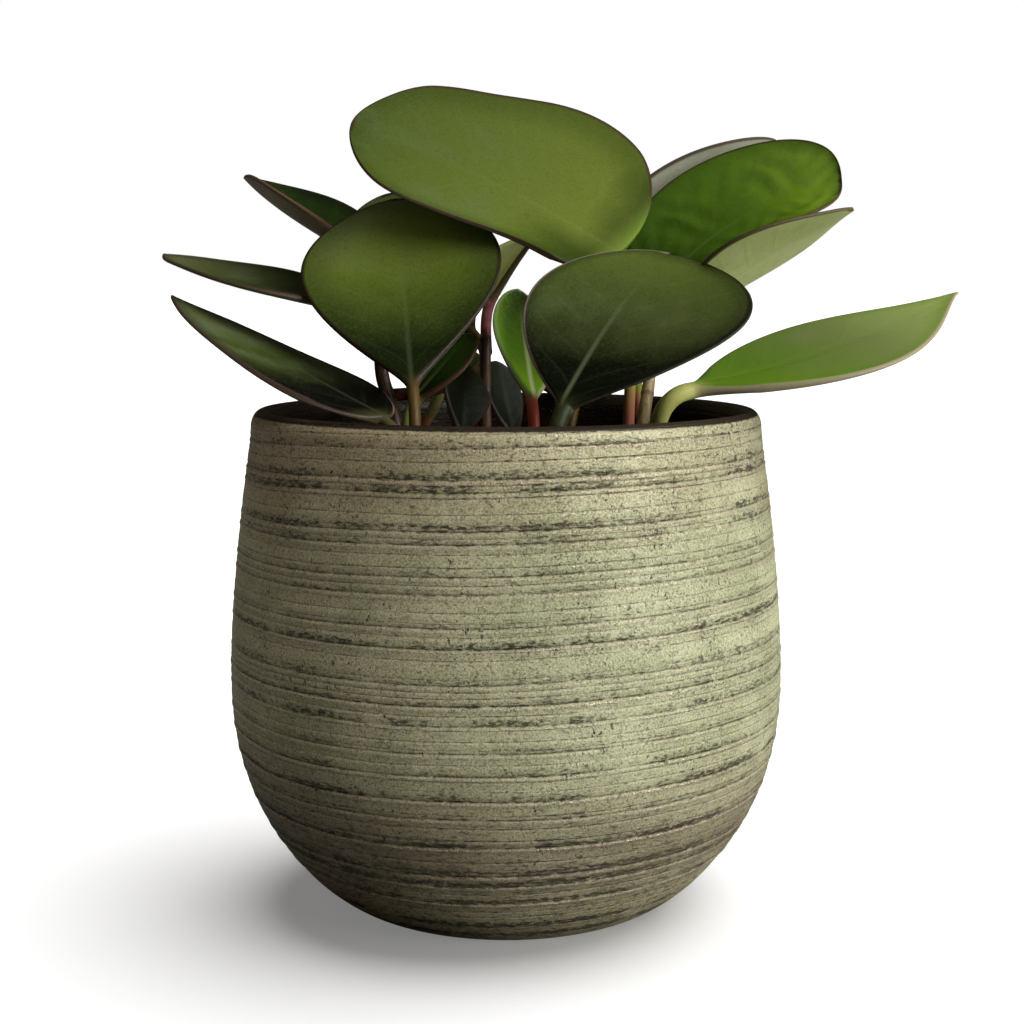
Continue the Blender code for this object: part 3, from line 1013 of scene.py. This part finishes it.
class Tone(Enum):
    """How each leaf is coloured."""

    CROWN = LeafSkin(
        "leaf_crown_olive", (40, 56, 2), (94, 108, 30), (62, 76, 24), rib_share=0.1, bloom_share=0.55,
        painted_edge_shade_reach=12.0, bloom=(84, 98, 54), margin=(52, 30, 20), stalk=(112, 142, 40),
        stalk_foot=(170, 96, 84), foot_start=-0.48, base_reach=0.0, middle_reach=0.16, painted_shade_side=0.85,
    )
    # FRONT's pale tip is partly painted light, lifting the shade that the crown leaf casts over the front leaf.
    FRONT = LeafSkin(
        "leaf_front_green", (14, 24, 1), (84, 100, 22), (122, 136, 56), rib_share=0.12, bloom_share=0.4,
        base_reach=0.2, middle_reach=0.6, bloom=(90, 102, 56), painted_edge_shade_reach=15.0, margin=(34, 22, 12),
        far_margin=(34, 22, 12), stalk=(78, 60, 26), stalk_foot=(84, 44, 30), slot="leaf_dark",
    )
    # DEEP's pale grey-pink margin is a painted highlight where the thick upper edge catches the light.
    DEEP = LeafSkin(
        "leaf_deep_green", (6, 12, 2), (60, 72, 26), (84, 102, 26), margin=(134, 114, 106), base_reach=0.22,
        bloom=(88, 98, 56), far_margin=(18, 16, 10), rib_share=0.4, bloom_share=0.3, stalk=(36, 44, 16),
        stalk_foot=(64, 56, 34), slot="leaf_dark", rough=0.46,
    )
    WRINKLED = LeafSkin(
        "leaf_wrinkled_bright", (50, 78, 2), (66, 98, 1), (104, 134, 22), bloom=(88, 116, 12), rib_share=0.2,
        bloom_share=0.25, wrinkle=1.7, rough=0.38, margin=(50, 34, 22),
    )
    PALE = LeafSkin(
        "leaf_pale_back", (60, 76, 28), (96, 112, 52), (120, 132, 70), under=(188, 198, 128),
        under_light=(206, 208, 150), margin=(172, 154, 132), far_margin=(64, 46, 32), slot="leaf_pale",
    )
    SILVER = LeafSkin(
        "leaf_silver_back", (50, 66, 26), (84, 100, 48), (104, 116, 66), under=(142, 144, 120),
        under_light=(162, 162, 142), slot="leaf_pale",
    )
    TENDER = LeafSkin(
        "leaf_tender_pale", (204, 210, 112), (184, 190, 112), (150, 160, 110), under=(200, 206, 124),
        under_light=(210, 212, 150), margin=(120, 96, 78), far_margin=(120, 96, 78), slot="leaf_pale",
        stalk=(170, 104, 104), stalk_foot=(74, 46, 36),
    )
    FRESH = LeafSkin(
        "leaf_fresh_yellow_green", (92, 130, 12), (116, 130, 72), (150, 170, 92), margin=(52, 42, 28),
        base_reach=0.24, middle_reach=0.6, bloom_share=0.3, far_margin=(150, 140, 112), bloom=(124, 132, 92),
        rib_share=0.1, under=(146, 150, 104), under_light=(156, 156, 120), stalk=(170, 172, 96),
        stalk_foot=(160, 140, 88),
    )
    GREYED = LeafSkin(
        "leaf_grey_green", (3, 4, 2), (54, 66, 20), (90, 94, 58), margin=(58, 42, 34), base_reach=0.24,
        far_margin=(150, 122, 112), rib_share=0.1, stalk=(60, 60, 34),
    )
    SHADED = LeafSkin(
        "leaf_shaded_green", (12, 24, 1), (32, 56, 2), (42, 70, 4), bloom=(46, 68, 12), under=(134, 118, 88),
        under_light=(150, 130, 104), margin=(96, 70, 54),
    )
    BRIGHT = LeafSkin(
        "leaf_young_bright_green", (124, 172, 26), (96, 140, 24), (30, 42, 16), middle_reach=0.3,
        midrib=(206, 214, 160), margin=(96, 112, 64), far_margin=(176, 186, 130), rib_share=0.9,
        bloom_share=0.2, stalk=(120, 50, 34), stalk_foot=(92, 36, 26), painted_edge_shade_reach=1.5,
    )
    NIGHT = LeafSkin(
        "leaf_young_dark_green", (10, 14, 6), (26, 32, 18), (34, 42, 24), bloom=(38, 46, 30),
        midrib=(60, 66, 48), margin=(46, 36, 30), slot="leaf_dark",
    )


@dataclass
class Leaf:
    """A blade with its stalk, grown in one piece.

    The blade starts at `base`, points along `heading` and `rise`, and swings by `turn` and `arch` over its
    length.  `roll` and `twist` turn it about its midrib, `cup` bends its section, and `wedge`, `blunt` and
    `skew` shape its outline, which `trim` widens or narrows: each row is a share of the length and a factor
    for each half.  `wave` ripples its edge.  A stalk with a `climb` goes up beside its stem to that place.
    """

    node: str
    tone: Tone
    stem: str
    seat: float
    base: Triple
    heading: float
    rise: float
    turn: float
    arch: float
    roll: float
    twist: float
    cup: float
    length: float
    width: float
    wedge: float
    blunt: float
    skew: float = 0.0
    stalk: float = 1.6
    climb: Triple | None = None
    wave: float = 0.5
    thickness: float = 0.62
    gap: float = 0.3
    trim: tuple[Triple, ...] = ()
    trim_blur: float = 0.09
    climb_bend: float = 10.0
    end: float = 0.985
    stations: int = 88
    stalk_stations: int = 26
    midrib_steps: int = 400

    def directions(self, along: Array) -> tuple[Array, Array, Array]:
        """The blade's own axes.

        Args:
            along: Shares of its length.

        Returns:
            The directions along the midrib, to its side, and up.
        """
        heading = np.radians(self.heading + self.turn * along)
        rise = np.radians(self.rise + self.arch * along)
        roll = np.radians(self.roll + self.twist * along)[:, None]
        forward = np.stack([np.cos(rise) * np.cos(heading), np.cos(rise) * np.sin(heading), np.sin(rise)], -1)
        level = np.stack([-np.sin(heading), np.cos(heading), np.zeros_like(heading)], -1)
        up = np.cross(forward, level)
        return forward, level * np.cos(roll) + up * np.sin(roll), up * np.cos(roll) - level * np.sin(roll)

    def half_width(self, along: Array) -> Array:
        """Half the blade's width before it is trimmed.

        Args:
            along: Shares of its length.

        Returns:
            The half widths there.
        """
        widest = self.wedge / (self.wedge + self.blunt)
        most = widest**self.wedge * (1 - widest) ** self.blunt
        return self.width / 2 * along**self.wedge * (1 - along) ** self.blunt / most

    def columns(self, half: float) -> Array:
        """Spreads the points over the top, closer to the margins.

        Args:
            half: Half the width.

        Returns:
            Shares of the half width, from one margin to the other.
        """
        close = np.array([0.0, 0.1, 0.3, 0.6, 1.0, 1.6, 2.6]) * min(1.0, half / 9.0)
        outer = 1 - close / half
        inner = np.linspace(outer[-1], 0, 12)[1:]
        side = np.concatenate([outer, inner])
        return np.concatenate([side, -side[-2::-1]])

    def relief(self, across: Array, reach: Array, along: float, top: bool) -> Array:
        """How far the surface stands out from the smooth blade.

        Args:
            across: Distances from the midrib, in millimetres.
            reach: Shares of the half width.
            along: The share of the length.
            top: Whether this is the upper side.

        Returns:
            The heights in millimetres.
        """
        fade = (1 - along) ** 0.8 * min(along * 6, 1)
        if not top:
            return 0.55 * np.exp(-((across / 1.5) ** 2)) * fade
        veins = 0.02 * np.sin((along * VEINS - reach * VEIN_SLANT) * 2 * np.pi)
        veins *= np.sin(np.pi * np.clip(reach, 0, 1))
        blisters = np.sin(across * 0.52 + 2 * np.sin(along * 17))
        blisters *= np.sin(along * 34 - reach * 6 + np.sin(across * 0.3))
        wrinkles = 0.42 * self.tone.value.wrinkle * blisters * np.sin(np.pi * np.clip(reach, 0.0, 0.96))
        return veins + wrinkles - 0.3 * np.exp(-((across / 1.1) ** 2)) * fade

    def lean(self, share: Array, along: float) -> Array:
        """How much wider than the plain outline each half of the blade is.

        Args:
            share: Shares of the half width, with their sign.
            along: The share of the length.

        Returns:
            A factor for each point.
        """
        if along < 0:
            return np.ones_like(share)
        lean = 1 + self.skew * share
        if self.trim:
            places, *halves = zip(*self.trim)
            spread = along + np.linspace(-self.trim_blur, self.trim_blur, 13)
            near, far = (np.interp(spread, places, factors).mean() for factors in halves)
            lean = lean * np.where(share > 0, near, far)
        return lean

    def ring(
        self, centre: Array, side: Array, up: Array,
        half: float, thick: float, along: float, bend: float,
    ) -> tuple[Array, ...]:
        """One loop of points round the leaf.

        Args:
            centre: The midrib's place.
            side: The direction to the side.
            up: The direction up.
            half: Half the width.
            thick: Half the thickness.
            along: The share of the blade's length, below 0 on the stalk.
            bend: Half the angle that the section bends through.

        Returns:
            Points, and for each its `along`, distance across, share across, distance to the margin, and 1
            on the underside.
        """
        top = self.columns(half)
        share = np.concatenate([top, -top[1:-1]])
        below = np.arange(len(share)) >= len(top)
        reach = np.abs(share)
        flat = np.clip(along / 0.16, 0, 1)
        rounding = half * (1 - flat) + min(thick * 1.5, half) * flat
        inward = np.clip(half * (1 - reach) / rounding, 0, 1)
        out = thick * np.sqrt(1 - (1 - inward) ** 2)
        across = share * half
        if along > 0:
            out = out + self.relief(across, reach, along, True) * np.where(below, 0, inward)
            out = out + self.relief(across, reach, along, False) * np.where(below, inward, 0)
        out = np.where(below, -out, out)
        around = share * bend
        radius = half / bend
        lean = self.lean(share, along)
        ripple = self.wave * reach**3 * np.sin(along * 9 + share * 2 + self.length)
        ripple *= max(along, 0) * min(half / 12, 1)
        normal = up * np.cos(around)[:, None] - side * np.sin(around)[:, None]
        points = centre + side * (radius * np.sin(around) * lean)[:, None]
        points = points + up * (radius * (1 - np.cos(around)) * lean)[:, None]
        points = points + normal * (out + ripple)[:, None]
        rim = np.full_like(reach, FAR)
        if along >= 0:
            rim = np.minimum(half * (1 - reach), (1 - along) * self.length)
        under = np.where(below | (reach > 0.9999), 1.0, 0.0)
        return points, np.full_like(reach, along), across, reach, rim, under

    def stalk_path(self, stems: dict[str, Stem]) -> tuple[Array, Array]:
        """The stalk's way from the stem to the foot of the blade.

        Args:
            stems: The stems by node name.

        Returns:
            The places of its middle and its directions there.
        """
        stem = stems[self.stem]
        line = stem.path()
        order = np.searchsorted(line[:, 2], self.seat)
        share = (self.seat - line[order - 1, 2]) / (line[order, 2] - line[order - 1, 2])
        middle = line[order - 1] + (line[order] - line[order - 1]) * share
        thick = stem.foot + (stem.top - stem.foot) * order / len(line)
        base = np.array(self.base, float)
        forward = self.directions(np.zeros(1))[0][0]
        toward = (np.array(self.climb, float) if self.climb else base) - middle
        outward = np.array([toward[0], toward[1], 0.0]) / np.hypot(toward[0], toward[1])
        if self.climb:
            root = middle + outward * (thick + self.gap + self.stalk)
            second, third = np.array(self.climb, float), base - forward * self.climb_bend
        else:
            root = middle + outward * (thick * 0.6)
            reach = np.linalg.norm(base - root) * 0.4
            second, third = root + outward * reach, base - forward * reach
        t = np.linspace(0, 1, self.stalk_stations, endpoint=False)[:, None]
        path = root * (1 - t) ** 3 + second * 3 * t * (1 - t) ** 2 + third * 3 * t**2 * (1 - t) + base * t**3
        slope = (second - root) * (1 - t) ** 2 + (third - second) * 2 * t * (1 - t) + (base - third) * t**2
        return path, slope / np.linalg.norm(slope, axis=1, keepdims=True)

    def stalk_rings(self, path: Array, slope: Array, bend: float) -> list[tuple[Array, ...]]:
        """The loops round the stalk, from the stem to the blade.

        Args:
            path: The places of the stalk's middle.
            slope: Its directions there.
            bend: Half the angle that the blade's section bends through.

        Returns:
            The loops, in the form that `ring` gives.
        """
        side = self.directions(np.zeros(1))[1][0]
        rings = []
        for i in reversed(range(self.stalk_stations)):
            side = side - slope[i] * (side @ slope[i])
            side = side / np.linalg.norm(side)
            t = i / self.stalk_stations
            thick = self.stalk * (1.0 + 0.25 * (1 - t) ** 6)
            up, turned = np.cross(slope[i], side), bend * t**3 + 0.02
            rings.append(self.ring(path[i], side, up, thick, thick, t - 1, turned))
        return rings[::-1]

    def build(self, stems: dict[str, Stem]) -> Object:
        """Makes the leaf.

        Args:
            stems: The stems by node name.

        Returns:
            The leaf.
        """
        path, slope = self.stalk_path(stems)
        bend = math.radians(max(self.cup, 1.0)) / 2
        rings = self.stalk_rings(path, slope, bend)
        fine = self.midrib_steps
        steps = self.directions((np.arange(fine) + 0.5) / fine)[0] * self.length / fine
        midrib = np.array(self.base) + np.concatenate([np.zeros((1, 3)), np.cumsum(steps, axis=0)])
        shares = 0.5 - 0.5 * np.cos(np.pi * np.linspace(0.0, self.end, self.stations))
        _, sides, ups = self.directions(shares)
        halves = np.hypot(self.half_width(shares), self.stalk * (1 - shares) ** 2)
        thicks = self.thickness * (1 - 0.3 * shares) + (self.stalk - self.thickness) * (1 - shares) ** 4
        for i, u in enumerate(shares):
            centre = np.array([np.interp(u * fine, np.arange(fine + 1), midrib[:, k]) for k in range(3)])
            rings.append(self.ring(centre, sides[i], ups[i], halves[i], min(thicks[i], halves[i]), u, bend))
        loops, *marks = (np.array(values) for values in zip(*rings))
        tip = midrib[int(shares[-1] * fine)] + self.directions(np.ones(1))[0][0] * 0.25
        tone = self.tone.value
        piece = wrap_rings(f"{self.node}_blade", path[0] * MM, loops * MM, tip * MM, tone.build())
        for name, values in zip(MARKS, marks):
            first, last = (-1.0, 1.0) if name == "along" else (values[0, 0], 0.0)
            hold(piece, name, np.concatenate([[first], values.ravel(), [last]]))
        return give(piece, self.node)


# ---------------------------------------------------------------- the plant


CROWN_TRIM = (
    (0.0, 1.0, 0.85), (0.1, 0.9, 1.0), (0.2, 0.8, 1.0), (0.3, 0.8, 1.0), (0.4, 0.88, 0.98), (0.5, 1.0, 0.93),
    (0.6, 1.17, 0.86), (0.7, 1.35, 0.88), (0.8, 1.65, 0.95), (0.9, 1.9, 1.0), (1.0, 2.1, 0.7),
)


@dataclass
class Plant:
    """The peperomia: its stems and its leaves."""

    stems: list[Stem] = field(default_factory=lambda: [
        Stem("stem_left",
             ((-22, -10, 79), (-26, -12, 104), (-31, -12, 138), (-35, -9, 152), (-35, -7, 164), (-34, -5, 174)),
             2.4, 1.8, BROWN_STEM),
        Stem("stem_centre", ((-4, 2, 79), (-5, 1, 104), (-6, 0, 137), (-6, 0, 150), (-6, 1, 162)), 2.1, 1.6,
             BROWN_STEM),
        Stem("stem_right", ((33, 2, 79), (36, 3, 104), (40, 6, 137), (42, 10, 150), (42, 13, 161)), 2.3, 1.7,
             TAN_STEM),
        Stem("stem_front", ((13, -16, 79), (14, -17, 104), (14, -18, 112), (14, -19, 121)), 2.3, 2.0,
             BROWN_STEM),
        Stem("stem_back", ((12, 28, 79), (14, 32, 104), (16, 35, 130), (18, 38, 165)), 2.2, 1.8, BROWN_STEM),
    ])
    leaves: list[Leaf] = field(default_factory=lambda: [
        Leaf("leaf_crown", Tone.CROWN, "stem_right", 112, (32, 2, 185), 160, 33, 26, -14, -36, 0, 23, 87, 72,
             0.4, 0.55, skew=-0.31, climb=(33, -8, 145), trim=CROWN_TRIM),
        Leaf("leaf_front_left", Tone.FRONT, "stem_left", 112, (-25, -33, 149), 99, 48, 0, 0, -10, 0, 13, 71,
             57, 1.2, 0.74),
        Leaf("leaf_front_right", Tone.DEEP, "stem_front", 113, (15, -49, 145), 52, 52, 0, -26, 8, 5, 22, 65,
             65, 0.97, 0.75, skew=-0.17, stalk=2.3),
        Leaf("leaf_upper_right", Tone.WRINKLED, "stem_right", 159, (45, 20, 173), 19, 55, -34, -48, 20, 9,
             35, 66, 65, 0.52, 0.4, skew=0.15),
        Leaf("leaf_middle_right", Tone.PALE, "stem_right", 154, (55, 7, 171), -43, 34, 18, -10, 0, 0, 20, 55,
             50, 0.86, 0.7),
        Leaf("leaf_low_right", Tone.FRESH, "stem_right", 122, (50, -23, 148), 24, 9, 0, 15, 8, 0, 5, 95, 54,
             1.14, 1.25, stalk=2.4),
        Leaf("leaf_low_left", Tone.GREYED, "stem_left", 124, (-33, -36, 141), 146, 23, 0, 0, 0, 14, 0, 84,
             47, 0.6, 0.88),
        Leaf("leaf_middle_left", Tone.GREYED, "stem_left", 158, (-42, 0, 170), 165, 10, -18, 7, -4, 2, 33,
             69, 42, 0.86, 0.96),
        Leaf("leaf_upper_left", Tone.SHADED, "stem_left", 169, (-37, 16, 183), 153, 22, 0, 14, 5, 0, 78, 55,
             47, 0.87, 0.9),
        Leaf("leaf_inner_left", Tone.FRONT, "stem_left", 146, (-10, 38, 162), 145, 42, -8, 16, -30, 0, 24,
             57, 45, 1.1, 0.6),
        Leaf("leaf_inner_centre", Tone.TENDER, "stem_centre", 158, (-5, 12, 171), 70, 41, 0, -24, -35, 7, 49,
             46, 34, 1.05, 0.5),
        Leaf("leaf_young_bright", Tone.BRIGHT, "stem_front", 117, (7, -32, 146), 97, 45, 0, 0, 21, 0, 25, 42,
             20, 0.94, 0.73),
        Leaf("leaf_young_left", Tone.SHADED, "stem_left", 128, (-25, -23, 145), 40, 46, 0, -9, 8, 0, 29, 28,
             19, 0.88, 0.74),
        Leaf("leaf_young_dark", Tone.NIGHT, "stem_centre", 118, (-13, -18, 135), 79, 64, 0, -15, 58, 0, 15,
             23, 19, 1.0, 0.5),
        Leaf("leaf_young_centre", Tone.NIGHT, "stem_centre", 116, (2, 9, 132), 119, 64, 0, 0, 17, 0, 25, 25,
             15, 0.85, 0.55),
        Leaf("leaf_back_low_left", Tone.SHADED, "stem_left", 132, (-20, 20, 147), 98, 6, 0, 12, 0, 0, 20, 56,
             34, 1.0, 0.65),
        Leaf("leaf_back_right", Tone.CROWN, "stem_right", 138, (40, 32, 160), 78, 8, 0, 12, 0, 0, 20, 58, 40,
             1.0, 0.65),
        Leaf("leaf_back_low", Tone.FRONT, "stem_back", 126, (22, 50, 140), 84, 10, 0, 14, 0, 0, 25, 58, 40,
             1.0, 0.65),
        Leaf("leaf_upper_back_right", Tone.SILVER, "stem_back", 158, (32, 70, 182), -6, 37, 0, 0, -44, 0, 25,
             68, 38, 0.5, 0.75),
    ])

    def build(self) -> list[Object]:
        """Makes every stem and leaf."""
        by_name = {stem.node: stem for stem in self.stems}
        return [stem.build() for stem in self.stems] + [leaf.build(by_name) for leaf in self.leaves]


# ---------------------------------------------------------------- the studio


@dataclass
class Studio:
    """The camera, the pale floor and the soft lights."""

    eye: Triple = (0.0, -0.5, 0.1768)
    pitch: float = 0.1297
    lens: float = 61.04
    film: float = 36.0
    shift: float = 0.0058
    key: float = 3.3
    top: float = 2.3
    wash: float = 4.3
    front: float = 0.1
    low: float = 2.6
    low_size: float = 0.5
    low_place: Triple = (0.62, -0.3, 0.06)
    low_aim: Triple = (0.06, 0.0, 0.18)
    fill: float = 0.036
    fill_colour: tuple[float, ...] = (1.0, 0.8, 0.56, 1.0)
    white: tuple[float, ...] = (1.0, 1.0, 1.0, 1.0)
    floor_half: float = 30.0
    floor_shown: float = 0.9
    floor_glow: float = 0.19
    floor_bounce: float = 0.15

    def camera(self) -> None:
        """Places the camera."""
        data = bpy.data.cameras.new("camera")
        data.lens, data.sensor_width, data.shift_x = self.lens, self.film, self.shift
        eye = stand("camera", data)
        eye.location = self.eye
        eye.rotation_euler = (math.pi / 2 - self.pitch, 0.0, 0.0)
        bpy.context.scene.camera = eye

    def sun(
        self, name: str, strength: float, softness: float, height: float, turn: float, colour: Triple
    ) -> Object:
        """Hangs a large soft light far away.

        Args:
            name: The light's name.
            strength: Its strength.
            softness: The angle that it fills, in degrees.
            height: Its angle above the floor, in degrees.
            turn: Its angle round the plant from the front to the right, in degrees.
            colour: Its colour.

        Returns:
            The light.
        """
        data = bpy.data.lights.new(name, "SUN")
        data.energy, data.angle, data.color = strength, math.radians(softness), colour
        lamp = stand(name, data)
        lamp.rotation_euler = (math.radians(90.0 - height), 0.0, math.radians(turn))
        return lamp

    def panel(self) -> None:
        """Stands a low reflector at the right, which lights the undersides of the leaves."""
        data = bpy.data.lights.new("low_panel", "AREA")
        data.size, data.energy, data.color = self.low_size, self.low, self.white[:3]
        lamp = stand("low_panel", data)
        lamp.location = self.low_place
        lamp.rotation_euler = (Vector(self.low_aim) - lamp.location).to_track_quat("-Z", "Y").to_euler()
        lamp.visible_glossy = False

    def floor(self) -> Object:
        """Lays the pale floor, which throws back less light than it shows.

        Returns:
            The floor.
        """
        reach = self.floor_half
        corners = [(-reach, -reach, 0.0), (reach, -reach, 0.0), (reach, reach, 0.0), (-reach, reach, 0.0)]
        skin = Skin("studio_floor")
        grey = [(value, value, value, 1.0) for value in (self.floor_shown, self.floor_bounce)]
        shown, thrown = (skin.add("ShaderNodeBsdfDiffuse", sockets={"Color": colour}) for colour in grey)
        glow = skin.add("ShaderNodeEmission", sockets={"Color": self.white, "Strength": self.floor_glow})
        pale = skin.add("ShaderNodeAddShader", sockets={0: shown, 1: glow})
        skin.show(thrown, pale, "ShaderNodeOutputMaterial")
        floor = place_piece("studio_floor", corners, [], [(0, 1, 2, 3)], skin.material)
        return floor

    def reach(self, lamp: Object, floor: Object, state: str) -> None:
        """Chooses what a light falls on.

        Args:
            lamp: The light.
            floor: The floor.
            state: INCLUDE for the floor alone, EXCLUDE for everything but the floor.
        """
        group = bpy.data.collections.new(f"{lamp.name}_reach")
        group.objects.link(floor)
        group.collection_objects[0].light_linking.link_state = state
        lamp.light_linking.receiver_collection = group

    def world(self) -> None:
        """Fills the studio with a soft light that is weaker than its white walls look."""
        world = bpy.data.worlds.new("studio")
        world.use_nodes = True
        world.node_tree.nodes.clear()
        graph = Graph(world.node_tree)
        lights = ((self.fill_colour, self.fill), (self.white, 1.0))
        fill, wall = (
            graph.add("ShaderNodeBackground", sockets={"Color": colour, "Strength": strength})
            for colour, strength in lights
        )
        graph.show(fill, wall, "ShaderNodeOutputWorld")
        bpy.context.scene.world = world

    def build(self) -> None:
        """Sets the whole studio up."""
        bpy.context.scene.view_settings.view_transform = "Standard"
        self.camera()
        key = self.sun("key_right", self.key, 40.0, 24.0, 58.0, (1.0, 1.0, 1.01))
        top = self.sun("top_soft", self.top, 90.0, 78.0, 150.0, (1.0, 0.98, 0.94))
        front = self.sun("front_soft", self.front, 70.0, 16.0, 12.0, (1.0, 0.97, 0.92))
        wash = self.sun("floor_wash", self.wash, 76.0, 66.0, 122.0, (1.0, 1.0, 1.0))
        top.visible_glossy = front.visible_glossy = wash.visible_glossy = False
        self.panel()
        floor = self.floor()
        for lamp in (key, top, front):
            self.reach(lamp, floor, "EXCLUDE")
        self.reach(wash, floor, "INCLUDE")
        self.world()


def main() -> None:
    """Builds every sub-assembly in order."""
    logging.basicConfig(level=logging.INFO, format="%(name)s: %(message)s")
    Studio().build()
    made = [CoverPot().build(), GrowPot().build(), PottingMix().build(), *Plant().build()]
    for piece in made:
        LOG.info("%s: %d faces", piece.name, len(piece.data.polygons))


if __name__ == "__main__":
    main()
